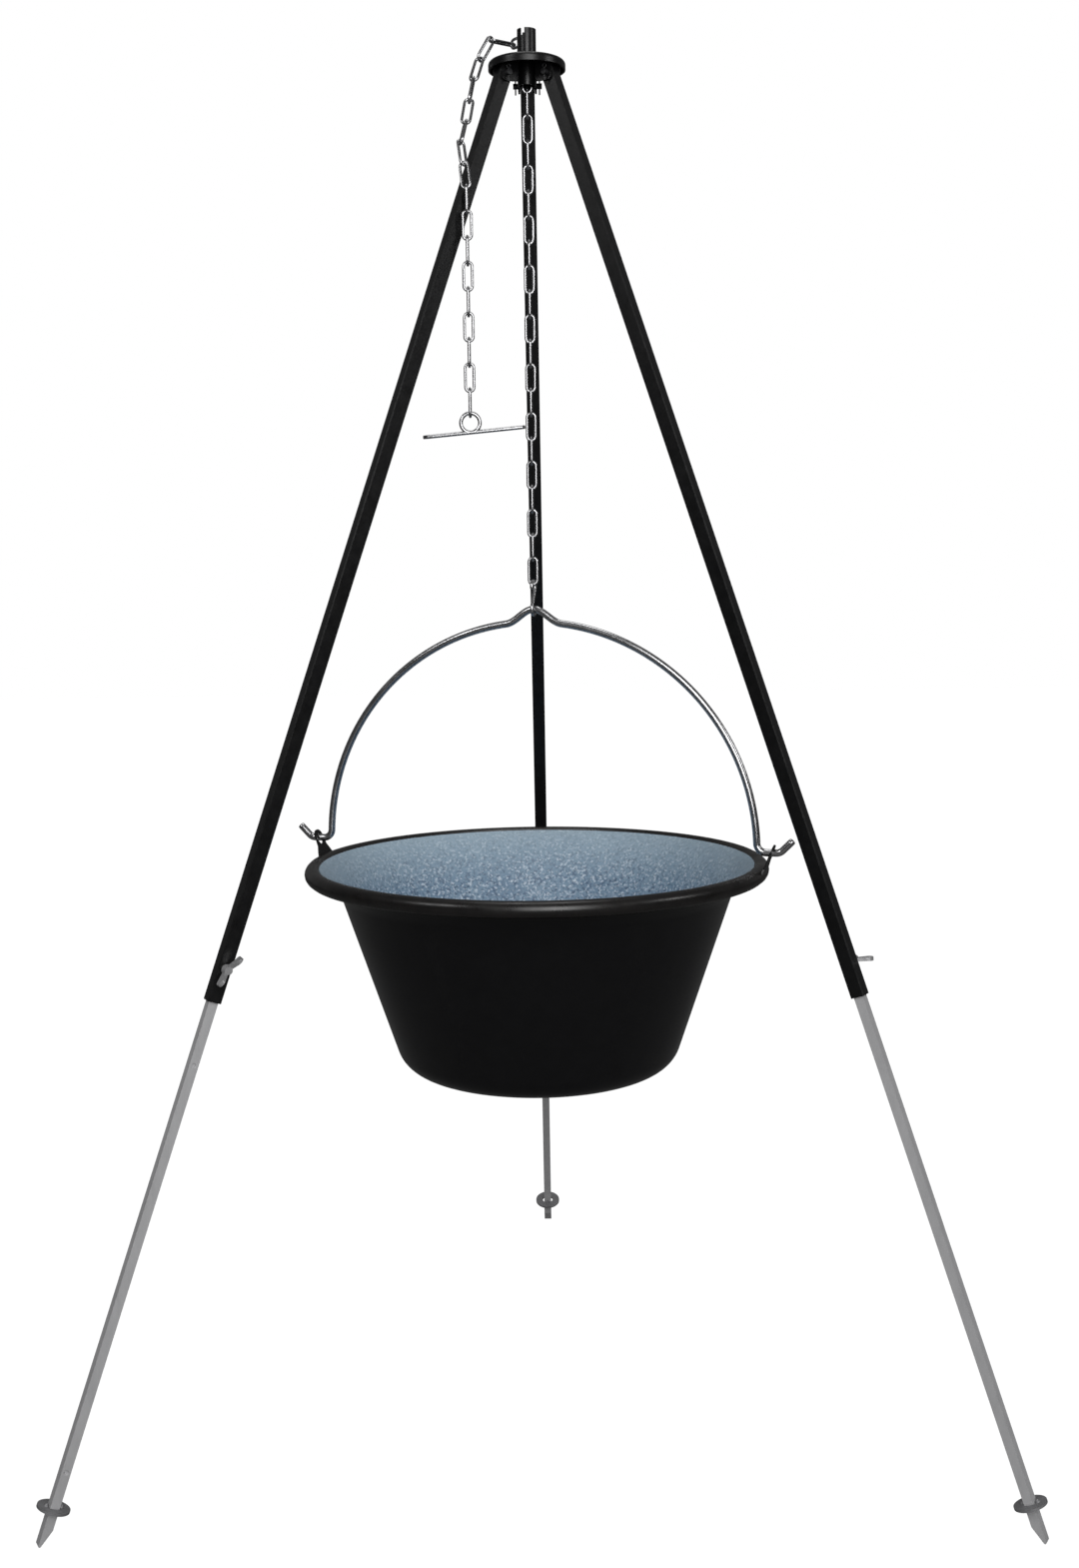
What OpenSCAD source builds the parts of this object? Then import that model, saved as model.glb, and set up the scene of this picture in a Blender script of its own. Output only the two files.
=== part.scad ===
// Telescopic campfire tripod with a chain, an S-hook and a hanging enamelled kettle.
// Millimetres. +Z is up, the ground is Z = 0, -Y is the front and the rear leg stands at +Y.

/* [Tripod] */
// Lean of each leg from the vertical, in degrees
leg_angle = 20.3; // [17:0.1:22]
// Distance from a hinge pin to the tip of its leg
leg_length = 1580; // [1500:1:1700]
// Distance of each hinge pin from the centre line
hinge_radius = 29; // [27:0.5:32]
// Side of the square upper leg tube
tube_side = 15; // [14:0.5:18]
// Wall of the upper leg tube
tube_wall = 1.5; // [1:0.1:1.8]
// Distance from a hinge pin to the lower end of its tube
tube_reach = 1013; // [900:1:1100]
// Side of the square lower leg bar
bar_side = 10; // [8:0.5:10]
// Length of bar inside the tube when the leg is pulled right out
bar_overlap = 150; // [100:1:250]
// Distance from the foot disc to the tip
tip_length = 39; // [30:1:50]
// Diameter of the foot disc
foot_disc_d = 34; // [30:1:50]

/* [Head] */
// Diameter of the dished head plate
plate_d = 82; // [78:1:90]
// Sheet thickness of the head plate
plate_t = 2; // [1.5:0.1:3]
// Depth of the head plate's rim
plate_rim = 9; // [6:0.5:10]
// Outer diameter of the chain tube
chain_tube_d = 20; // [19:0.5:22]
// Height of the chain tube above the head plate
chain_tube_up = 32.5; // [28:0.5:40]
// Diameter of the hinge pins
hinge_pin_d = 6; // [5:0.5:6]

/* [Chain] */
// Wire diameter of the chain
wire_d = 3; // [2.5:0.1:3]
// Inside length of one link
link_inside = 26; // [24:0.5:28]
// Outside width of one link
link_width = 12; // [11:0.5:12]

/* [Kettle] */
// Radius of the kettle's rolled rim
rim_r = 258; // [240:1:262]
// Height of the kettle
kettle_h = 235; // [220:1:250]
// Sheet thickness of the kettle
kettle_t = 2; // [1.5:0.1:2.5]
// Turn of the kettle and its bail about the vertical, in degrees
kettle_turn = -16; // [-30:1:30]
// Diameter of the bail rod
bail_d = 8; // [7:0.5:8]
// Radius of the bail's arch
bail_r = 248; // [240:1:250]

/* [Hidden] */
$fn = 48;

left = 210;
right = 330;
rear = 90;
azimuths = [left, right, rear];
// turn of each wing screw about its own axis
wing_turns = [24, 73, 20];

// heights of the head
tip_r = 1.5;
tip_x = bar_side / 2 - tip_r;
hinge_z = (leg_length - tip_r) * cos(leg_angle) - tip_x * sin(leg_angle) + tip_r;
plate_under = hinge_z + 15;
plate_top = plate_under + plate_t;
chain_tube_bottom = hinge_z - 8;
chain_tube_top = plate_top + chain_tube_up;

// centre of the footprint, which is set on the origin
disc_t = 2.5;
disc_reach = leg_length - tip_length;
disc_radius_out = hinge_radius + disc_reach * sin(leg_angle);
front_tilt = sin(leg_angle) / 2;
plan_back = hinge_radius + tip_x * cos(leg_angle) + (leg_length - tip_r) * sin(leg_angle) + tip_r;
plan_front = disc_radius_out / 2 + foot_disc_d / 2 * sqrt(1 - front_tilt * front_tilt)
    + disc_t / 2 * front_tilt;
plan_y = (plan_back - plan_front) / 2;

// brackets and hinges
ear_t = 2.2;
ear_gap = tube_side + 0.6;
ear_drop = 7.5;
web_out = hinge_radius - 10.5;
web_t = 2.5;
bracket_out = hinge_radius + 6.4;
pin_play = 0.05;
pin_half = ear_gap / 2 + ear_t + 5.5;
split_x = pin_half - 2.6;
split_r = 0.8;
tube_above_pin = 9;

// wing screws
screw_up = 36;
screw_r = 2.9;
nut_t = 3.5;
nut_af = 10;
detents = [0, 103, 526];

// chain
wire_r = wire_d / 2;
arc_r = link_width / 2 - wire_r;
slack = 0.1;
pitch = link_inside - slack;
main_links = 21;

// draped part of the chain: azimuth, elevation and roll of each link from the tube outwards
drape = [
    [130, 0, 0], [211, 2, 84], [211, -58, -21],
    [234, -64, 78], [243, -68, 155], [247, -68, 72], [248, -62, 138], [291, -69, 62],
    [292, -74, 128]
];
drape_reach = link_inside + wire_r - 0.3;
tail_links = 9;

// hook, bail and kettle
hook_wire_r = 2;
eye_r = 6;
bowl_r = 6.5;
pivot_above_rim = 16;
arch_peak = 14;
rim_z = 643;
kettle_z = rim_z - kettle_h;
pivot_z = rim_z + pivot_above_rim;
rod_r = bail_d / 2;
rod_top_z = pivot_z + bail_r + arch_peak;
ear_plate_t = 2;
ear_lean = 21;
ear_hole_r = 6.5;
ear_r = rim_r + 6;
lip_r = 9;

function ring_points(r, from, to, steps) =
    [for (i = [0:steps]) let (a = from + (to - from) * i / steps) [r * cos(a), r * sin(a)]];
function shifted(points, x, y) = [for (p = points) [p[0] + x, p[1] + y]];
function unit(az, el) = [cos(az) * cos(el), sin(az) * cos(el), sin(el)];

// start of each draped link: the point where its inner end bears on the wire before it
seat_wire = [0, 0, hinge_z + pitch * 1.5 + wire_r];
function drape_start(i) =
    i == 0
    ? seat_wire - (wire_r + 0.4) * unit(drape[0][0], drape[0][1])
    : drape_start(i - 1)
        + drape_reach * unit(drape[i - 1][0], drape[i - 1][1])
        - wire_r * unit(drape[i][0], drape[i][1]);
last = len(drape) - 1;
drape_end = drape_start(last) + drape_reach * unit(drape[last][0], drape[last][1]);
tail_z = drape_end[2] + wire_r;

module placed() {
    translate([0, -plan_y, 0]) children();
}

// leg frame: hinge pin along Y, leg down -Z, outwards +X
module on_leg(az) {
    placed() rotate([0, 0, az]) translate([hinge_radius, 0, hinge_z]) rotate([0, -leg_angle, 0]) children();
}

// square outline with cut corners
module cut_square(side, cut) {
    h = side / 2;
    c = h - cut;
    polygon([[c, h], [-c, h], [-h, c], [-h, -c], [-c, -h], [c, -h], [h, -c], [h, c]]);
}

// part of a ring of round wire in the XZ plane
module wire_arc(r, wire, from, to) {
    rotate([90, 0, 0]) rotate([0, 0, from]) rotate_extrude(angle = to - from, $fn = 64)
        translate([r, 0]) circle(r = wire, $fn = 32);
}

// round wire swept along a path of [x, z] points
module swept_wire(path, wire, sides = 16) {
    last_ring = len(path) - 1;
    points = [
        for (i = [0:last_ring]) let (
            d = path[min(i + 1, last_ring)] - path[max(i - 1, 0)],
            u = d / norm(d)
        ) for (k = [0:sides - 1]) let (a = 360 * k / sides)
            [path[i][0] - wire * cos(a) * u[1], wire * sin(a), path[i][1] + wire * cos(a) * u[0]]
    ];
    skin = [
        for (i = [0:last_ring - 1], k = [0:sides - 1]) let (
            a = i * sides + k,
            b = i * sides + (k + 1) % sides
        ) each [[a, b, b + sides], [a, b + sides, a + sides]]
    ];
    caps = [[for (k = [sides - 1:-1:0]) k], [for (k = [0:sides - 1]) last_ring * sides + k]];
    polyhedron(points, concat(skin, caps), convexity = 8);
}

// one chain link, long along Z and wide along X
module link() {
    half = link_inside / 2 + wire_r - arc_r;
    union() {
        for (s = [-1, 1]) translate([s * arc_r, 0, -half]) cylinder(r = wire_r, h = 2 * half, $fn = 32);
        translate([0, 0, half]) wire_arc(arc_r, wire_r, 0, 180);
        translate([0, 0, -half]) wire_arc(arc_r, wire_r, 180, 360);
    }
}

// plumb run of links, turned a quarter from one to the next
module plumb_links(first, count, roll) {
    for (i = [first:first + count - 1]) translate([0, 0, -pitch * i]) rotate([0, 0, roll + 90 * (i % 2)]) link();
}

module head_plate() {
    r = plate_d / 2;
    hole = chain_tube_d / 2 + 0.05;
    bend = 4;
    outer = shifted(ring_points(bend, 90, 0, 6), r - bend, -bend);
    inner = shifted(ring_points(bend - plate_t, 0, 90, 6), r - bend, -bend);
    color("#1a1a1c") placed() translate([0, 0, plate_top]) rotate_extrude($fn = 96)
        polygon(concat(
            [[hole, 0]], outer, [[r, -plate_rim], [r - plate_t, -plate_rim]],
            inner, [[hole, -plate_t]]
        ));
}

module chain_tube() {
    deep = chain_tube_top - (seat_wire[2] - link_width / 2 - 0.6);
    slot = 4.7;
    color("#18181a") placed() difference() {
        translate([0, 0, chain_tube_bottom]) cylinder(d = chain_tube_d, h = chain_tube_top - chain_tube_bottom);
        translate([0, 0, chain_tube_bottom - 1]) cylinder(d = chain_tube_d - 4, h = 200);
        rotate([0, 0, drape[0][0]]) translate([4, -slot / 2, chain_tube_top - deep]) cube([10, slot, deep + 1]);
        rotate([0, 0, 245]) translate([4, -slot / 2, chain_tube_top - 8]) cube([10, slot, 9]);
    }
}

module bracket(az) {
    corner = 5;
    low = -ear_drop;
    high = plate_under - hinge_z;
    x0 = web_out - web_t - hinge_radius;
    x1 = bracket_out - hinge_radius;
    outline = concat(
        [[x0, high]],
        shifted(ring_points(corner, 180, 270, 5), x0 + corner, low + corner),
        shifted(ring_points(corner, 270, 360, 5), x1 - corner, low + corner),
        [[x1, high]]
    );
    color("#1a1a1c") placed() rotate([0, 0, az]) translate([hinge_radius, 0, hinge_z]) difference() {
        union() {
            for (s = [0, 1]) mirror([0, s, 0]) translate([0, ear_gap / 2 + ear_t, 0]) rotate([90, 0, 0])
                linear_extrude(height = ear_t) polygon(outline);
            translate([x0, -ear_gap / 2, 0]) cube([web_t, ear_gap, high]);
        }
        rotate([90, 0, 0]) translate([0, 0, -30]) cylinder(r = hinge_pin_d / 2 + pin_play, h = 60);
    }
}

module hinge_pin(az) {
    color("#222224") placed() rotate([0, 0, az]) translate([hinge_radius, 0, hinge_z]) difference() {
        rotate([90, 0, 0]) translate([0, 0, -pin_half]) cylinder(d = hinge_pin_d, h = 2 * pin_half);
        for (s = [-1, 1]) translate([0, s * split_x, -10]) cylinder(r = split_r + pin_play, h = 20, $fn = 24);
    }
}

// split pin: an eye above the hinge pin and a stem through it
module split_pin() {
    eye = 2;
    neck = hinge_pin_d / 2 + 1;
    translate([0, 0, neck + eye]) wire_arc(eye, split_r, 0, 360);
    translate([0, 0, -9]) cylinder(r = split_r, h = 9 + neck, $fn = 24);
}

module split_pins() {
    color("#333336") for (az = azimuths, s = [-1, 1])
        placed() rotate([0, 0, az]) translate([hinge_radius, s * split_x, hinge_z]) split_pin();
}

module upper_leg(az) {
    color("#141416") on_leg(az) difference() {
        translate([0, 0, -tube_reach]) linear_extrude(height = tube_reach + tube_above_pin) cut_square(tube_side, 1.2);
        translate([0, 0, -tube_reach - 1]) linear_extrude(height = tube_reach + tube_above_pin + 2)
            square(tube_side - 2 * tube_wall, center = true);
        rotate([90, 0, 0]) translate([0, 0, -20]) cylinder(r = hinge_pin_d / 2 + pin_play, h = 40);
        translate([0, 0, screw_up - tube_reach]) rotate([-90, 0, 0]) cylinder(r = screw_r + 0.4, h = 20);
    }
}

module weld_nut(az) {
    color("#1c1c1e") on_leg(az) translate([0, tube_side / 2, screw_up - tube_reach]) rotate([-90, 0, 0]) difference() {
        cylinder(d = nut_af / cos(30), h = nut_t, $fn = 6);
        translate([0, 0, -1]) cylinder(r = screw_r + 0.08, h = nut_t + 2);
    }
}

// wing screw along +Z, with its clamping end at Z = 0
module wing_screw_shape() {
    stem = tube_side / 2 - bar_side / 2 - 0.3 + nut_t + 0.4;
    hub_h = 7;
    wing_t = 3.8;
    cylinder(r = screw_r, h = stem + 1);
    translate([0, 0, stem]) cylinder(r1 = 5.6, r2 = 4.2, h = hub_h);
    for (s = [0, 1]) mirror([s, 0, 0]) translate([2.5, 0, stem + 1.5]) rotate([0, 52, 0])
        translate([0, wing_t / 2, 0]) rotate([90, 0, 0]) linear_extrude(height = wing_t)
            polygon(concat([[-3, 0], [1.5, 0]], shifted(ring_points(4.5, 0, 180, 8), 0, 14.5)));
}

module wing_screw(az, turn) {
    color("#c9cacc") on_leg(az) translate([0, bar_side / 2 + 0.3, screw_up - tube_reach]) rotate([-90, 0, 0])
        rotate([0, 0, 90 - turn]) wing_screw_shape();
}

module lower_leg(az) {
    h = bar_side / 2;
    cut = 18;
    outline = concat(
        [[-h, bar_overlap - tube_reach], [h, bar_overlap - tube_reach]],
        shifted(ring_points(tip_r, 360, 225, 5), tip_x, tip_r - leg_length),
        [[-h, cut - leg_length]]
    );
    color("#98989a") on_leg(az) difference() {
        translate([0, h, 0]) rotate([90, 0, 0]) linear_extrude(height = bar_side) polygon(outline);
        for (d = detents) translate([0, h - 2, screw_up - tube_reach - d]) rotate([-90, 0, 0])
            cylinder(r1 = 1.2, r2 = 2.8, h = 2.01);
    }
}

module foot_disc(az) {
    hole_r = 7.25;
    color("#8a8a8c") on_leg(az) translate([0, 0, -disc_reach]) difference() {
        union() {
            translate([0, 0, -disc_t / 2]) cylinder(d = foot_disc_d, h = disc_t, $fn = 96);
            for (s = [-1, 1]) translate([s * (hole_r + 0.75), 0, 0]) cylinder(r1 = 3, r2 = 1.2, h = disc_t / 2 + 3);
        }
        translate([0, 0, -5]) cylinder(r = hole_r, h = 5 + disc_t / 2, $fn = 48);
        cube([bar_side, bar_side, 20], center = true);
    }
}

module chain_seat_link() {
    color("#b9babc") placed() translate([0, 0, hinge_z + pitch]) rotate([0, 0, 65]) link();
}

module chain_drape() {
    color("#b9babc") placed() for (i = [0:last]) {
        centre = drape_start(i) + link_inside / 2 * unit(drape[i][0], drape[i][1]);
        translate(centre) rotate([0, 90 - drape[i][1], drape[i][0]]) rotate([0, 0, drape[i][2]]) link();
    }
}

module chain_top_link() {
    color("#c4c5c7") placed() translate([0, 0, hinge_z]) plumb_links(0, 1, 0);
}

module chain_upper() {
    color("#c4c5c7") placed() translate([0, 0, hinge_z]) plumb_links(1, 10, 0);
}

module chain_lower() {
    color("#c4c5c7") placed() translate([0, 0, hinge_z]) plumb_links(11, 10, 0);
}

module s_hook() {
    eye_z = hinge_z - pitch * (main_links - 0.5) + hook_wire_r - eye_r;
    bowl_z = rod_top_z - rod_r - slack + bowl_r - hook_wire_r;
    lean = asin((eye_r + bowl_r) / (eye_z - bowl_z));
    path = concat(
        shifted(ring_points(eye_r, 205, -lean, 20), 0, eye_z),
        shifted(ring_points(bowl_r, 180 - lean, 375, 20), 0, bowl_z)
    );
    color("#c4c5c7") placed() rotate([0, 0, kettle_turn + 90]) swept_wire(path, hook_wire_r);
}

// half of the bail's centreline from the peak to its end, with the ear pivots at Z = 0
function bail_half() =
    let (
        curl = 10,
        up = 45,
        start = asin(curl / bail_r),
        foot_x = bail_r * cos(start) + curl,
        rise = 32,
        straight = 11,
        tail = [foot_x + straight + curl * sin(up), curl - curl * cos(up)]
    )
    concat(
        [for (x = [2:2:rise]) [x, sqrt(bail_r * bail_r - x * x) + arch_peak * (1 + cos(180 * x / rise)) / 2]],
        ring_points(bail_r, 80, start, 30),
        shifted(ring_points(curl, 180, 270, 8), foot_x, curl),
        shifted(ring_points(curl, 270, 270 + up, 5), foot_x + straight, curl),
        [tail + 16 * [cos(up), sin(up)]]
    );

module bail() {
    half = bail_half();
    ends = len(half) - 1;
    path = concat(
        [for (i = [ends:-1:0]) [-half[i][0], half[i][1]]],
        [[0, bail_r + arch_peak]],
        half
    );
    color("#a9aaac") placed() rotate([0, 0, kettle_turn]) translate([0, 0, pivot_z]) swept_wire(path, rod_r);
}

module kettle_body() {
    corner_r = 35;
    slope = 18.7;
    flat_r = 126;
    t = kettle_t;
    wall_top = [217, kettle_h - 38];
    flare_top = [rim_r - 16, kettle_h - 4];
    outer = concat(
        [[0, 0]],
        shifted(ring_points(corner_r, -90, -slope, 8), flat_r, corner_r),
        [wall_top, wall_top + [9, 12], flare_top]
    );
    lip_under = shifted(ring_points(lip_r - t, 130, 10, 6), rim_r - lip_r, kettle_h - lip_r);
    lip_over = shifted(ring_points(lip_r, 10, 130, 6), rim_r - lip_r, kettle_h - lip_r);
    inner = concat(
        [flare_top + [-0.7, 0.7] * t, wall_top + [9, 12] + [-0.8, 0.6] * t, wall_top + [-0.95, 0.3] * t],
        shifted(ring_points(corner_r - t, -slope, -90, 8), flat_r, corner_r),
        [[0, t]]
    );
    color("#1b1b1e") placed() translate([0, 0, kettle_z]) rotate_extrude($fn = 128)
        polygon(concat(outer, lip_under, lip_over, inner));
}

// ear plate, leaning outwards and fitted to the rim, with the bail's hole near its rounded top
module ear(side) {
    head_r = 9.5;
    hole_drop = 1.6;
    base = 20;
    down = pivot_above_rim + 9;
    outline = concat(
        [[-base, -down], [-base + 4, -down + 8], [-head_r - 1, -head_r]],
        ring_points(head_r, 190, -10, 10),
        [[head_r + 1, -head_r], [base - 4, -down + 8], [base, -down]]
    );
    color("#202022") placed() rotate([0, 0, kettle_turn + side]) difference() {
        translate([ear_r, 0, pivot_z]) rotate([0, ear_lean, 0]) difference() {
            translate([-ear_plate_t / 2, 0, 0]) rotate([90, 0, 90]) linear_extrude(height = ear_plate_t) polygon(outline);
            translate([-5, 0, -hole_drop]) rotate([0, 90, 0]) cylinder(r = ear_hole_r, h = 10);
        }
        translate([0, 0, rim_z - lip_r]) rotate_extrude($fn = 128) translate([rim_r - lip_r, 0])
            circle(r = lip_r + 0.05, $fn = 64);
        translate([0, 0, rim_z - 40]) cylinder(r = rim_r - lip_r, h = 40, $fn = 128);
    }
}

module tail_top_link() {
    color("#b9babc") placed() translate([drape_end[0], drape_end[1], tail_z - link_inside / 2])
        rotate([0, 0, 90]) link();
}

module tail_chain() {
    color("#b9babc") placed() translate([drape_end[0], drape_end[1], tail_z - link_inside / 2])
        plumb_links(1, tail_links - 1, 90);
}

module toggle() {
    ring_r = 10;
    toggle_r = 2;
    bar_l = 109;
    ring_z = tail_z - pitch * tail_links + toggle_r - ring_r;
    color("#c4c5c7") placed() translate([drape_end[0], drape_end[1], ring_z]) {
        wire_arc(ring_r, toggle_r, 0, 360);
        rotate([0, -5, 0]) translate([3 - bar_l / 2, 0, -ring_r]) rotate([0, 90, 0])
            cylinder(r = toggle_r, h = bar_l, $fn = 32);
    }
}

head_plate();
chain_tube();
bracket(left);  // bracket_left
bracket(right);  // bracket_right
bracket(rear);  // bracket_rear
hinge_pin(left);  // hinge_pin_left
hinge_pin(right);  // hinge_pin_right
hinge_pin(rear);  // hinge_pin_rear
split_pins();
upper_leg(left);  // upper_leg_left
upper_leg(right);  // upper_leg_right
upper_leg(rear);  // upper_leg_rear
weld_nut(left);  // weld_nut_left
weld_nut(right);  // weld_nut_right
weld_nut(rear);  // weld_nut_rear
wing_screw(left, wing_turns[0]);  // wing_screw_left
wing_screw(right, wing_turns[1]);  // wing_screw_right
wing_screw(rear, wing_turns[2]);  // wing_screw_rear
lower_leg(left);  // lower_leg_left
lower_leg(right);  // lower_leg_right
lower_leg(rear);  // lower_leg_rear
foot_disc(left);  // foot_disc_left
foot_disc(right);  // foot_disc_right
foot_disc(rear);  // foot_disc_rear
chain_seat_link();
chain_drape();
chain_top_link();
chain_upper();
chain_lower();
s_hook();
bail();
kettle_body();
ear(180);  // ear_left
ear(0);  // ear_right
tail_top_link();
tail_chain();
toggle();
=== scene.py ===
import math

import bmesh
import bpy
from mathutils import Matrix, Vector


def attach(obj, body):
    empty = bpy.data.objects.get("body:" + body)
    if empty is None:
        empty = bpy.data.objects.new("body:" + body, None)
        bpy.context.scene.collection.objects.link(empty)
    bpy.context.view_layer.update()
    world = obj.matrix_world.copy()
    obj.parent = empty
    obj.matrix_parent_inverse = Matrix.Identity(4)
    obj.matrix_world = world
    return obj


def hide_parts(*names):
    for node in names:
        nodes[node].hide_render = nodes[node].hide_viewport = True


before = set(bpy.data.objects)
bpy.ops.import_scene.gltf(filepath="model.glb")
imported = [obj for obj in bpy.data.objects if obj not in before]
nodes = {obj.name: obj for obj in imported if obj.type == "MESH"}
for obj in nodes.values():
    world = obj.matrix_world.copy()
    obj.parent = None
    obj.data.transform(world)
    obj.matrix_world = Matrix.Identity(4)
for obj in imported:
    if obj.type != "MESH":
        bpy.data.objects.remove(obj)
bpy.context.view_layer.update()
scene = bpy.context.scene

# ---------------------------------------------------------------- sizes, in millimetres, as in the CAD
# height of the hinge pins, and how far the centre line is from the middle of the footprint
HINGE_Z = 1480.743
PLAN_Y = 141.324
# chain: distance from link to link, wire radius, inside length of a link
PITCH = 25.9
WIRE = 1.5
INSIDE = 26.0
# kettle and bail: rim, height, bail pivots, radius and peak of the arch, turn about the vertical
RIM_Z = 643.0
KETTLE_H = 235.0
PIVOT_Z = 659.0
BAIL_R = 248.0
PEAK = 14.0
TURN = math.radians(-16)
SEAT_ROLL = 65
SEAT_GAP = 0.4
DRAPE_SLACK = 0.3
# azimuth, elevation and roll of each draped link in degrees, from the tube outwards
DRAPE = [
    (130, 0, 0), (211, 2, 84), (211, -58, -21), (234, -64, 78), (243, -68, 155),
    (247, -68, 72), (248, -62, 138), (291, -69, 62), (292, -74, 128),
]


def place(x, y, z):
    return Vector((x, y - PLAN_Y, z)) / 1000


# ---------------------------------------------------------------- camera
VIEW_HEIGHT = 1569


def make_camera():
    """Place in metres, angles in radians, focal length in the units of VIEW_HEIGHT."""
    x, y, z, pitch, yaw, roll, focal = 0.0335, -2.0351, 0.9575, 0.1209, -0.0155, -0.0123, 1715.0
    level = math.cos(pitch)
    forward = Vector((math.sin(yaw) * level, math.cos(yaw) * level, -math.sin(pitch)))
    right = Vector((math.cos(yaw), -math.sin(yaw), 0))
    up = right.cross(forward)
    r = right * math.cos(roll) + up * math.sin(roll)
    u = -right * math.sin(roll) + up * math.cos(roll)
    data = bpy.data.cameras.new("camera")
    data.sensor_fit = "VERTICAL"
    data.sensor_height = 36.0
    data.lens = data.sensor_height * focal / VIEW_HEIGHT
    data.clip_end = 50
    cam = bpy.data.objects.new("camera", data)
    cam.matrix_world = Matrix((
        (r.x, u.x, -forward.x, x), (r.y, u.y, -forward.y, y), (r.z, u.z, -forward.z, z), (0, 0, 0, 1)
    ))
    scene.collection.objects.link(cam)
    scene.camera = cam


make_camera()


# ---------------------------------------------------------------- materials
class Nodes:
    """Small helper around one material's node tree."""

    def __init__(self, name):
        self.mat = bpy.data.materials.new(name)
        self.mat.use_nodes = True
        self.tree = self.mat.node_tree
        self.shader = self.tree.nodes["Principled BSDF"]
        self.coord = self.tree.nodes.new("ShaderNodeTexCoord")

    def link(self, a, b):
        self.tree.links.new(a, b)

    def mapping(self, scale):
        m = self.tree.nodes.new("ShaderNodeMapping")
        m.inputs["Scale"].default_value = scale
        self.link(self.coord.outputs["Object"], m.inputs["Vector"])
        return m.outputs["Vector"]

    def noise(self, scale, detail=3.0, rough=0.5, stretch=(1, 1, 1)):
        n = self.tree.nodes.new("ShaderNodeTexNoise")
        n.inputs["Scale"].default_value = scale
        n.inputs["Detail"].default_value = detail
        n.inputs["Roughness"].default_value = rough
        self.link(self.mapping(stretch), n.inputs["Vector"])
        return n.outputs["Fac"]

    def ramp(self, fac, stops):
        r = self.tree.nodes.new("ShaderNodeValToRGB")
        elements = r.color_ramp.elements
        while len(elements) < len(stops):
            elements.new(0.5)
        for e, (pos, col) in zip(elements, stops):
            e.position = pos
            e.color = (*col, 1) if isinstance(col, tuple) else (col, col, col, 1)
        self.link(fac, r.inputs["Fac"])
        return r.outputs["Color"]

    def mix(self, fac, a, b):
        m = self.tree.nodes.new("ShaderNodeMix")
        m.data_type = "RGBA"
        self.link(fac, m.inputs["Factor"])
        for value, socket in ((a, m.inputs["A"]), (b, m.inputs["B"])):
            if isinstance(value, tuple):
                socket.default_value = (*value, 1)
            else:
                self.link(value, socket)
        return m.outputs["Result"]

    def bump(self, height, strength, distance):
        b = self.tree.nodes.new("ShaderNodeBump")
        b.inputs["Strength"].default_value = strength
        b.inputs["Distance"].default_value = distance
        self.link(height, b.inputs["Height"])
        self.link(b.outputs["Normal"], self.shader.inputs["Normal"])

    def set(self, **values):
        for key, value in values.items():
            socket = self.shader.inputs[key.replace("_", " ")]
            if isinstance(value, (int, float)):
                socket.default_value = value
            elif isinstance(value, tuple):
                socket.default_value = (*value, 1)
            else:
                self.link(value, socket)


def painted(name, base, lift, rough, ior=1.45):
    n = Nodes(name)
    tone = n.noise(35, 4, 0.6)
    n.set(
        Base_Color=n.ramp(tone, [(0.3, base), (0.7, lift)]),
        Roughness=n.ramp(n.noise(90, 4, 0.6), [(0.3, rough - 0.05), (0.7, rough + 0.07)]),
        IOR=ior,
    )
    n.bump(n.noise(900, 2, 0.5), 0.15, 0.0004)
    return n.mat


def zinc(name, dark, light, rough, stretch=(1, 1, 1), spangle=60.0, metal=1.0, bump=0.1):
    n = Nodes(name)
    cloud = n.noise(spangle, 5, 0.65, stretch)
    fine = n.noise(spangle * 9, 3, 0.6, stretch)
    color = n.mix(fine, n.ramp(cloud, [(0.3, dark), (0.7, light)]), light)
    n.set(
        Base_Color=color,
        Metallic=metal,
        Roughness=n.ramp(cloud, [(0.3, rough - 0.06), (0.7, rough + 0.1)]),
    )
    n.bump(fine, bump, 0.0003)
    return n.mat


def enamel_outside():
    n = Nodes("enamel_black")
    wave = n.noise(9, 2, 0.5)
    tones = [(0.3, (0.0035, 0.0035, 0.004)), (0.7, (0.005, 0.005, 0.0056))]
    n.set(
        Base_Color=n.ramp(n.noise(60, 4, 0.6), tones),
        Roughness=n.ramp(n.noise(25, 4, 0.6), [(0.3, 0.16), (0.7, 0.24)]),
        IOR=1.42,
    )
    n.bump(wave, 0.08, 0.002)
    return n.mat


def enamel_rim():
    n = Nodes("enamel_rim")
    tones = [(0.3, (0.006, 0.0055, 0.0055)), (0.7, (0.013, 0.0115, 0.011))]
    n.set(
        Base_Color=n.ramp(n.noise(45, 4, 0.6), tones),
        Roughness=n.ramp(n.noise(60, 4, 0.6), [(0.3, 0.24), (0.7, 0.36)]),
        IOR=1.5,
    )
    n.bump(n.noise(120, 3, 0.5), 0.12, 0.0006)
    return n.mat


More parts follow.
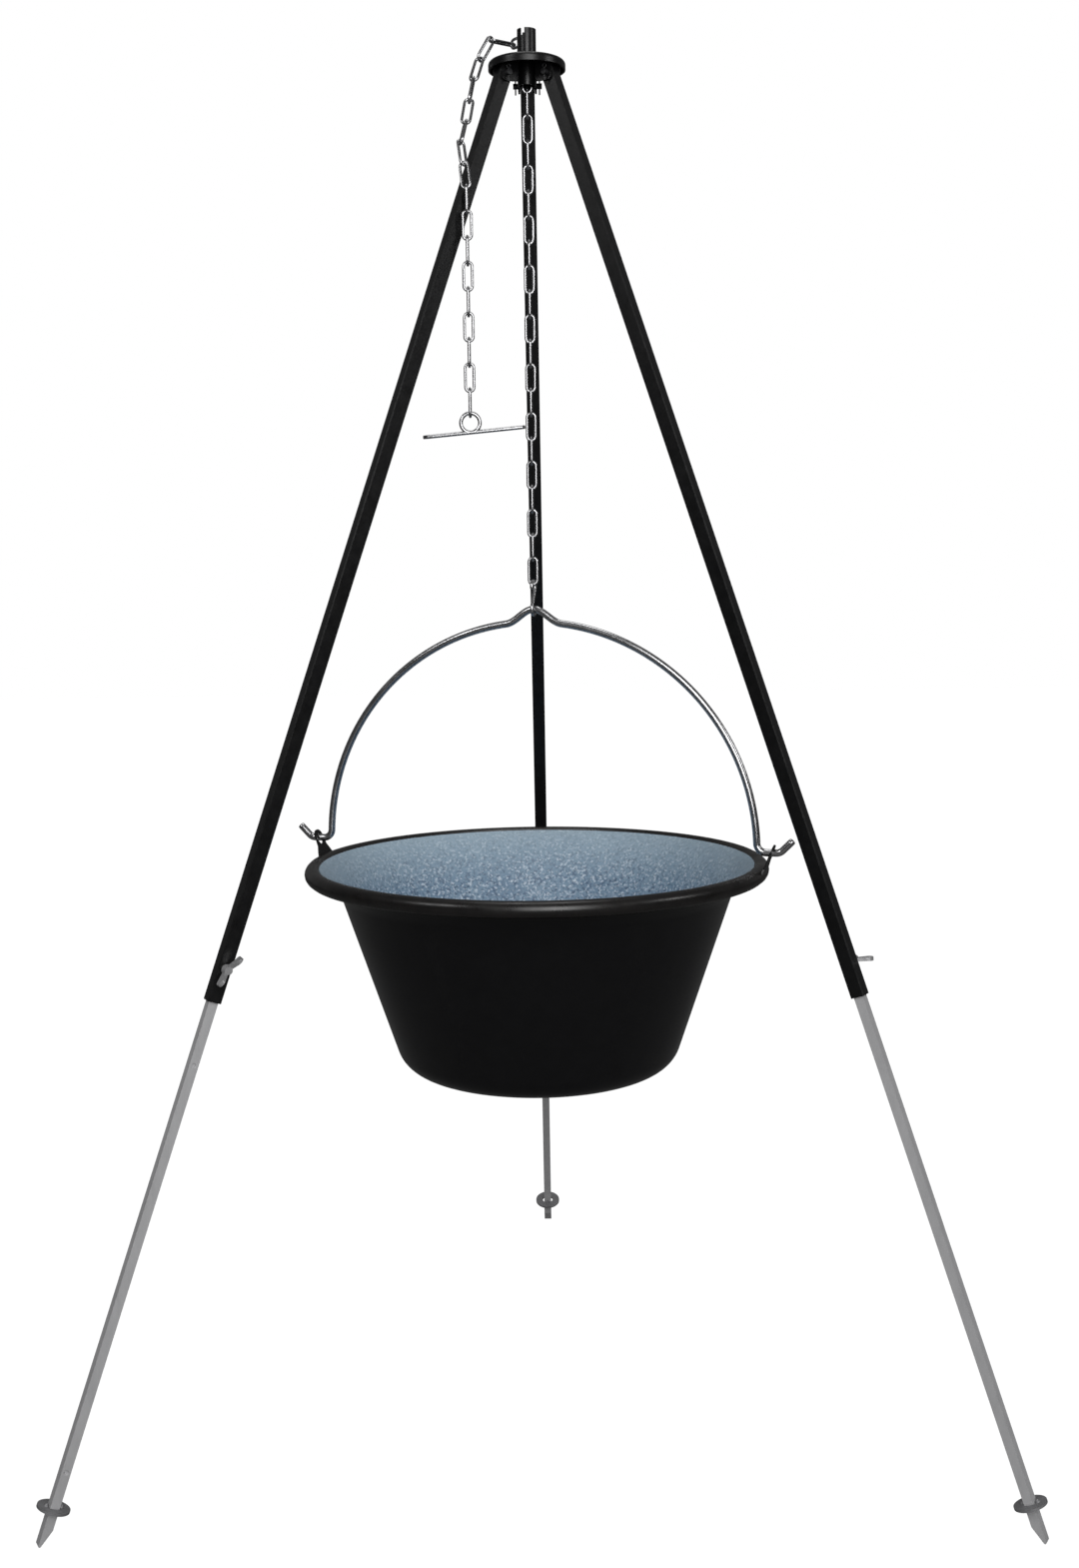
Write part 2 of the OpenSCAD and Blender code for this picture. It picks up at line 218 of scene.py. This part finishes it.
def enamel_inside():
    """Blue-grey ground with slate and near-white speckles, paler and plainer near the rim."""
    n = Nodes("enamel_speckled")
    ground = n.ramp(n.noise(22, 4, 0.6), [(0.3, (0.195, 0.305, 0.43)), (0.7, (0.28, 0.40, 0.52))])
    dark = n.ramp(n.noise(250, 4, 0.7), [(0.50, 0.0), (0.60, 1.0)])
    light = n.ramp(n.noise(290, 4, 0.7, (1, 1, 1.1)), [(0.53, 0.0), (0.62, 1.0)])
    col = n.mix(dark, ground, (0.10, 0.16, 0.25))
    col = n.mix(light, col, (0.66, 0.75, 0.83))
    split = n.tree.nodes.new("ShaderNodeSeparateXYZ")
    n.link(n.coord.outputs["Object"], split.inputs["Vector"])
    near = n.tree.nodes.new("ShaderNodeMapRange")
    near.inputs["From Min"].default_value = (RIM_Z - 60) / 1000
    near.inputs["From Max"].default_value = (RIM_Z - 6) / 1000
    near.inputs["To Max"].default_value = 0.7
    n.link(split.outputs["Z"], near.inputs["Value"])
    col = n.mix(near.outputs["Result"], col, (0.40, 0.51, 0.59))
    n.set(
        Base_Color=col,
        Roughness=n.ramp(n.noise(60, 4, 0.6), [(0.3, 0.42), (0.7, 0.56)]),
        IOR=1.4,
    )
    n.bump(n.noise(250, 4, 0.7), 0.15, 0.0005)
    return n.mat


paint = painted("paint_black", (0.0030, 0.0030, 0.0033), (0.0052, 0.0052, 0.0056), 0.34, ior=1.4)
paint_head = painted("paint_head", (0.0035, 0.0035, 0.0038), (0.006, 0.006, 0.0065), 0.3, ior=1.42)
dark_steel = painted("steel_dark", (0.009, 0.009, 0.010), (0.018, 0.018, 0.020), 0.4)
bar_zinc = zinc("zinc_bar", (0.49, 0.49, 0.50), (0.60, 0.60, 0.61), 0.45, (1, 1, 0.25), 80, metal=0.2)
disc_zinc = zinc("zinc_disc", (0.17, 0.17, 0.175), (0.27, 0.27, 0.28), 0.5, spangle=70, metal=0.25)
bright = zinc("zinc_bright", (0.36, 0.36, 0.37), (0.54, 0.54, 0.55), 0.22, spangle=90, bump=0.03)
rod_zinc = zinc("zinc_rod", (0.46, 0.46, 0.47), (0.58, 0.58, 0.59), 0.22, spangle=40, bump=0.01)
cast_zinc = zinc("zinc_cast", (0.42, 0.42, 0.43), (0.60, 0.60, 0.61), 0.32, spangle=120, metal=0.6, bump=0.2)
black_enamel = enamel_outside()
rim_enamel = enamel_rim()
speckled = enamel_inside()


# ---------------------------------------------------------------- mesh helpers
def new_object(name, verts, faces, materials, face_material=None):
    """A smooth-shaded object with its normals facing out."""
    mesh = bpy.data.meshes.new(name)
    mesh.from_pydata([tuple(v) for v in verts], [], faces)
    for m in materials:
        mesh.materials.append(m)
    if face_material:
        for poly, index in zip(mesh.polygons, face_material):
            poly.material_index = index
    mesh.shade_smooth()
    bm = bmesh.new()
    bm.from_mesh(mesh)
    bmesh.ops.recalc_face_normals(bm, faces=bm.faces)
    bm.to_mesh(mesh)
    bm.free()
    obj = bpy.data.objects.new(name, mesh)
    scene.collection.objects.link(obj)
    return obj


def sweep(path, radius, closed=False, sides=14):
    """Vertices and faces of a round wire along a path of points, with domed ends."""
    pts = [Vector(p) for p in path]
    radii = [radius] * len(pts)
    if not closed:
        head = (pts[0] - pts[1]).normalized()
        tail = (pts[-1] - pts[-2]).normalized()
        steps = [(0.35, 0.94), (0.72, 0.7), (0.93, 0.36)]
        pts = (
            [pts[0] + head * radius * 0.4 * (d - 1) for d, _ in reversed(steps)]
            + pts[1:-1]
            + [pts[-1] + tail * radius * 0.4 * (d - 1) for d, _ in steps]
        )
        taper = [radius * s for _, s in steps]
        radii = taper[::-1] + [radius] * (len(pts) - 6) + taper
    count = len(pts)
    verts, faces = [], []
    normal = None
    for i, p in enumerate(pts):
        a = pts[(i - 1) % count] if closed or i else pts[0]
        b = pts[(i + 1) % count] if closed or i < count - 1 else pts[-1]
        t = (b - a).normalized()
        if normal is None:
            normal = t.orthogonal().normalized()
        normal = (normal - t * normal.dot(t)).normalized()
        side = t.cross(normal)
        for k in range(sides):
            w = 2 * math.pi * k / sides
            verts.append(p + (normal * math.cos(w) + side * math.sin(w)) * radii[i])
    for i in range(count if closed else count - 1):
        for k in range(sides):
            j, m = (i + 1) % count, (k + 1) % sides
            faces.append((i * sides + k, i * sides + m, j * sides + m, j * sides + k))
    if not closed:
        faces.append(tuple(range(sides - 1, -1, -1)))
        faces.append(tuple((count - 1) * sides + k for k in range(sides)))
    return verts, faces


def join(parts):
    verts, faces = [], []
    for v, f in parts:
        base = len(verts)
        verts += v
        faces += [tuple(base + i for i in face) for face in f]
    return verts, faces


def moved(part, matrix):
    return [matrix @ v for v in part[0]], part[1]


def stadium():
    """Centreline of one chain link, long along Z and wide along X, in millimetres."""
    r = 4.5
    half = INSIDE / 2 + WIRE - r
    pts = []
    for side, start in ((1, 0.0), (-1, math.pi)):
        for i in range(10):
            a = start + math.pi * i / 9
            pts.append(Vector((r * math.cos(a), 0, side * half + r * math.sin(a))))
        pts += [Vector((-side * r, 0, side * half * (1 - 2 * i / 5))) for i in range(1, 5)]
    return pts


LINK = sweep(stadium(), WIRE, closed=True, sides=12)
TO_M = Matrix.Scale(0.001, 4) @ Matrix.Translation((0, -PLAN_Y, 0))


def turned(degrees, axis):
    return Matrix.Rotation(math.radians(degrees), 4, axis)


def plumb(first, count, x, y, z, roll):
    """Hanging links, each turned a quarter against the one above."""
    return [
        moved(LINK, TO_M @ Matrix.Translation((x, y, z - PITCH * i)) @ turned(roll + 90 * (i % 2), "Z"))
        for i in range(first, first + count)
    ]


def chain_piece(name, parts, body, node):
    obj = new_object(name, *join(parts), [bright])
    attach(obj, body)
    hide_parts(node)


def unit(az, el):
    az, el = math.radians(az), math.radians(el)
    return Vector((math.cos(az) * math.cos(el), math.sin(az) * math.cos(el), math.sin(el)))


# ---------------------------------------------------------------- chain
def make_chain():
    seat = moved(LINK, TO_M @ Matrix.Translation((0, 0, HINGE_Z + PITCH)) @ turned(SEAT_ROLL, "Z"))
    chain_piece("seat_link", [seat], "head", "chain_seat_link")
    start = Vector((0, 0, HINGE_Z + PITCH * 1.5 + WIRE)) - unit(*DRAPE[0][:2]) * (WIRE + SEAT_GAP)
    reach = INSIDE + WIRE - DRAPE_SLACK
    parts = []
    for i, (az, el, roll) in enumerate(DRAPE):
        u = unit(az, el)
        if i:
            start = start - u * WIRE
        aim = turned(az, "Z") @ turned(90 - el, "Y") @ turned(roll, "Z")
        parts.append(moved(LINK, TO_M @ Matrix.Translation(start + u * INSIDE / 2) @ aim))
        start = start + u * reach
    chain_piece("draped_links", parts, "head", "chain_drape")
    chain_piece("top_link", plumb(0, 1, 0, 0, HINGE_Z, 0), "top_link", "chain_top_link")
    chain_piece("chain_run_upper", plumb(1, 10, 0, 0, HINGE_Z, 0), "chain_upper", "chain_upper")
    chain_piece("chain_run_lower", plumb(11, 10, 0, 0, HINGE_Z, 0), "chain_lower", "chain_lower")
    tail_z = start.z + WIRE
    zc = tail_z - INSIDE / 2
    chain_piece("tail_link", plumb(0, 1, start.x, start.y, zc, 90), "tail_link", "tail_top_link")
    chain_piece("tail_run", plumb(1, 8, start.x, start.y, zc, 90), "tail", "tail_chain")
    wire, ring_r, bar_length, bar_shift = 2.0, 10, 109, 3
    tilt = math.radians(5)
    ring_z = tail_z - PITCH * 9 + 2 - ring_r
    centre = Vector((start.x, start.y, ring_z))
    angles = [2 * math.pi * i / 48 for i in range(48)]
    circle = [centre + Vector((ring_r * math.cos(a), 0, ring_r * math.sin(a))) for a in angles]
    ring = sweep(circle, wire, closed=True)
    along = Vector((math.cos(tilt), 0, math.sin(tilt)))
    drop = centre + Matrix.Rotation(-tilt, 3, "Y") @ Vector((0, 0, -ring_r))
    bar = sweep([drop + along * (bar_shift + bar_length * (i / 20 - 0.5)) for i in range(21)], wire)
    chain_piece("toggle_bar", [moved(ring, TO_M), moved(bar, TO_M)], "toggle", "toggle")


make_chain()


# ---------------------------------------------------------------- hook and bail
def arc(r, a0, a1, n, x=0.0, z=0.0):
    """Points of an arc in the XZ plane, angles in degrees."""
    return [
        Vector((x + r * math.cos(a), 0, z + r * math.sin(a)))
        for a in [math.radians(a0 + (a1 - a0) * i / n) for i in range(n + 1)]
    ]


def make_hook():
    rod_top = PIVOT_Z + BAIL_R + PEAK
    eye_z = HINGE_Z - PITCH * 20.5 + 2 - 6
    bowl_z = rod_top - 4 - 0.1 + 6.5 - 2
    lean = math.degrees(math.asin(12.5 / (eye_z - bowl_z)))
    path = arc(6, 205, -lean, 26, z=eye_z) + arc(6.5, 180 - lean, 375, 26, z=bowl_z)
    spot = TO_M @ Matrix.Rotation(TURN + math.pi / 2, 4, "Z")
    obj = new_object("hook", *moved(sweep(path, 2.0, sides=16), spot), [bright])
    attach(obj, "hook")
    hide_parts("s_hook")


def make_bail():
    """An arch with a small peak in the middle and a curl with a straight tail at each end."""
    curl, rise, flat, tail_length = 10.0, 32.0, 11, 16
    start = math.degrees(math.asin(curl / BAIL_R))
    foot = BAIL_R * math.cos(math.radians(start)) + curl
    half = []
    for i in range(1, 21):
        x = 1.6 * i
        bump = PEAK * (1 + math.cos(math.pi * x / rise)) / 2
        half.append(Vector((x, 0, math.sqrt(BAIL_R ** 2 - x * x) + bump)))
    half += arc(BAIL_R, 82.2, start, 60)
    half += arc(curl, 180, 270, 12, foot, curl)[1:]
    half += arc(curl, 270, 315, 8, foot + flat, curl)
    tail = half[-1]
    c45 = math.cos(math.radians(45))
    half += [tail + Vector((c45, 0, c45)) * tail_length * i / 4 for i in range(1, 5)]
    mirrored = [Vector((-p.x, 0, p.z)) for p in reversed(half)]
    path = mirrored + [Vector((0, 0, BAIL_R + PEAK))] + half
    spot = TO_M @ Matrix.Rotation(TURN, 4, "Z") @ Matrix.Translation((0, 0, PIVOT_Z))
    obj = new_object("bail_rod", *moved(sweep(path, 3.98, sides=20), spot), [rod_zinc])
    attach(obj, "bail")
    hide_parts("bail")


make_hook()
make_bail()


# ---------------------------------------------------------------- kettle
def bend(radius, start, end, steps):
    """The rounded edge between the kettle's base and wall, as (radius, height) points."""
    centre_r, centre_z = 126, 35
    angles = [math.radians(start + (end - start) * i / steps) for i in range(steps + 1)]
    return [(centre_r + radius * math.cos(a), centre_z + radius * math.sin(a)) for a in angles]


def straight_wall(a, b):
    return [(a[0] + (b[0] - a[0]) * i / 6, a[1] + (b[1] - a[1]) * i / 6) for i in range(1, 7)]


def kettle_profile():
    """The outline from the base's centre out over the rim and back in, with its two section starts."""
    h, t, rim = KETTLE_H, 2.0, 258.0
    slope = 18.7
    outer = [(0.0, 0.0), (60.0, 0.0), (110.0, 0.0)]
    outer += bend(35, -90, -slope, 14)
    outer += straight_wall(outer[-1], (217, h - 38))
    outer += [(220.6, h - 32), (226.5, h - 24.5), (234, h - 14.5), (241.5, h - 5.2)]
    roll = 9
    collar = []
    for a in map(math.radians, (-62, -40, -20, 0, 18, 36, 54, 72, 90, 108, 126)):
        collar.append((rim - roll + roll * math.cos(a), h - roll + roll * math.sin(a)))
    under = [(243.2, h - 9.2), (246.2, h - 13.2), (249.6, h - 16.6)]
    collar_start = len(outer)
    outer += under + collar
    inner_start = len(outer)
    inner = [(241.9, h - 3.4), (238.2, h - 5.6), (233, h - 11.5)]
    inner += [(225, h - 22), (218.8, h - 30.8), (215.2, h - 37.4)]
    round_inside = bend(35 - t, -slope, -90, 12)
    inner += straight_wall(inner[-1], round_inside[0])
    inner += round_inside[1:]
    inner += [(110.0, t), (60.0, t), (0.0, t)]
    return outer + inner, collar_start, inner_start


def make_kettle():
    profile, collar_start, inner_start = kettle_profile()
    base_z = RIM_Z - KETTLE_H
    sides = 160
    verts, faces, index = [], [], []
    rings = []
    for r, z in profile:
        if r == 0:
            rings.append([len(verts)])
            verts.append(place(0, 0, base_z + z))
            continue
        rings.append(list(range(len(verts), len(verts) + sides)))
        for k in range(sides):
            a = 2 * math.pi * k / sides
            verts.append(place(r * math.cos(a), r * math.sin(a), base_z + z))
    for i in range(len(rings) - 1):
        kind = 0 if i < collar_start - 1 else (1 if i < inner_start else 2)
        for k in range(sides):
            m = (k + 1) % sides
            a, b = rings[i], rings[i + 1]
            if len(a) == 1:
                faces.append((a[0], b[m], b[k]))
            elif len(b) == 1:
                faces.append((a[k], a[m], b[0]))
            else:
                faces.append((a[k], a[m], b[m], b[k]))
            index.append(kind)
    obj = new_object("kettle", verts, faces, [black_enamel, rim_enamel, speckled], index)
    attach(obj, "kettle")
    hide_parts("kettle_body")


make_kettle()


# ---------------------------------------------------------------- CAD nodes that stay, with softened edges
def dress(names, material, bevel):
    for name in names:
        obj = nodes[name]
        for s in obj.material_slots:
            s.material = material
        mod = obj.modifiers.new("edges", "BEVEL")
        mod.width = bevel
        mod.segments = 3
        mod.limit_method = "ANGLE"
        mod.angle_limit = math.radians(28)
        mod.harden_normals = True


each = ("left", "right", "rear")
dress(["head_plate", "chain_tube"] + ["bracket_" + n for n in each], paint_head, 0.0003)
dress(["upper_leg_" + n for n in each], paint, 0.0003)
dress(["weld_nut_" + n for n in each], paint, 0.0003)
dress(["hinge_pin_" + n for n in each] + ["split_pins"], dark_steel, 0.0002)
dress(["lower_leg_" + n for n in each], bar_zinc, 0.0004)
dress(["foot_disc_" + n for n in each], disc_zinc, 0.0003)
dress(["wing_screw_" + n for n in each], cast_zinc, 0.0005)
dress(["ear_left", "ear_right"], paint_head, 0.0003)


# ---------------------------------------------------------------- stage and light
ROOM_FRONT, ROOM_BACK, ROOM_TOP = 0.05, 0.12, 0.14


def make_stage():
    mesh = bpy.data.meshes.new("floor")
    s, z = 12, -0.0005
    mesh.from_pydata([(-s, -s, z), (s, -s, z), (s, s, z), (-s, s, z)], [], [(0, 1, 2, 3)])
    n = Nodes("floor_white")
    n.set(Base_Color=(0.12, 0.12, 0.12), Roughness=0.9, Emission_Color=(1.0, 1.0, 1.0))
    seen_floor = n.tree.nodes.new("ShaderNodeLightPath")
    glow = n.tree.nodes.new("ShaderNodeMapRange")
    glow.inputs["To Min"].default_value = 0.02
    glow.inputs["To Max"].default_value = 1.0
    n.link(seen_floor.outputs["Is Camera Ray"], glow.inputs["Value"])
    n.link(glow.outputs["Result"], n.shader.inputs["Emission Strength"])
    mesh.materials.append(n.mat)
    floor = bpy.data.objects.new("floor", mesh)
    scene.collection.objects.link(floor)

    world = bpy.data.worlds.new("world")
    scene.world = world
    world.use_nodes = True
    # the camera sees plain white, and everything else is lit by a dim room, brighter above and behind
    tree = world.node_tree
    back = tree.nodes["Background"]
    coord = tree.nodes.new("ShaderNodeTexCoord")
    split = tree.nodes.new("ShaderNodeSeparateXYZ")
    tree.links.new(coord.outputs["Generated"], split.inputs["Vector"])

    def band(socket, lo, hi, low, high):
        m = tree.nodes.new("ShaderNodeMapRange")
        m.interpolation_type = "SMOOTHSTEP"
        for key, value in (("From Min", lo), ("From Max", hi), ("To Min", low), ("To Max", high)):
            m.inputs[key].default_value = value
        tree.links.new(split.outputs[socket], m.inputs["Value"])
        return m.outputs["Result"]

    total = tree.nodes.new("ShaderNodeMath")
    total.operation = "MAXIMUM"
    tree.links.new(band("Y", 0.0, 0.9, ROOM_FRONT, ROOM_BACK), total.inputs[0])
    tree.links.new(band("Z", 0.25, 0.95, ROOM_FRONT, ROOM_TOP), total.inputs[1])
    path = tree.nodes.new("ShaderNodeLightPath")
    seen = tree.nodes.new("ShaderNodeMath")
    seen.operation = "MAXIMUM"
    tree.links.new(total.outputs[0], seen.inputs[0])
    tree.links.new(path.outputs["Is Camera Ray"], seen.inputs[1])
    tree.links.new(seen.outputs[0], back.inputs["Strength"])
    back.inputs["Color"].default_value = (1, 1, 1, 1)

    def area(name, loc, target, size, power, size_y=None):
        data = bpy.data.lights.new(name, "AREA")
        data.energy = power
        data.size = size
        if size_y:
            data.shape = "RECTANGLE"
            data.size_y = size_y
        obj = bpy.data.objects.new(name, data)
        obj.location = loc
        obj.rotation_euler = (Vector(target) - Vector(loc)).to_track_quat("-Z", "Y").to_euler()
        scene.collection.objects.link(obj)

    area("key", (-2.6, -2.2, 3.0), (0, 0, 0.8), 1.0, 20)
    area("fill", (3.0, -1.2, 2.2), (0, 0, 0.8), 0.8, 12)
    area("top", (0, 0.4, 3.8), (0, 0, 0.6), 1.2, 14)
    area("front", (0.5, -3.4, 1.9), (0, 0, 0.8), 1.6, 72, 2.6)
    scene.view_settings.view_transform = "Standard"
    scene.view_settings.look = "None"


make_stage()
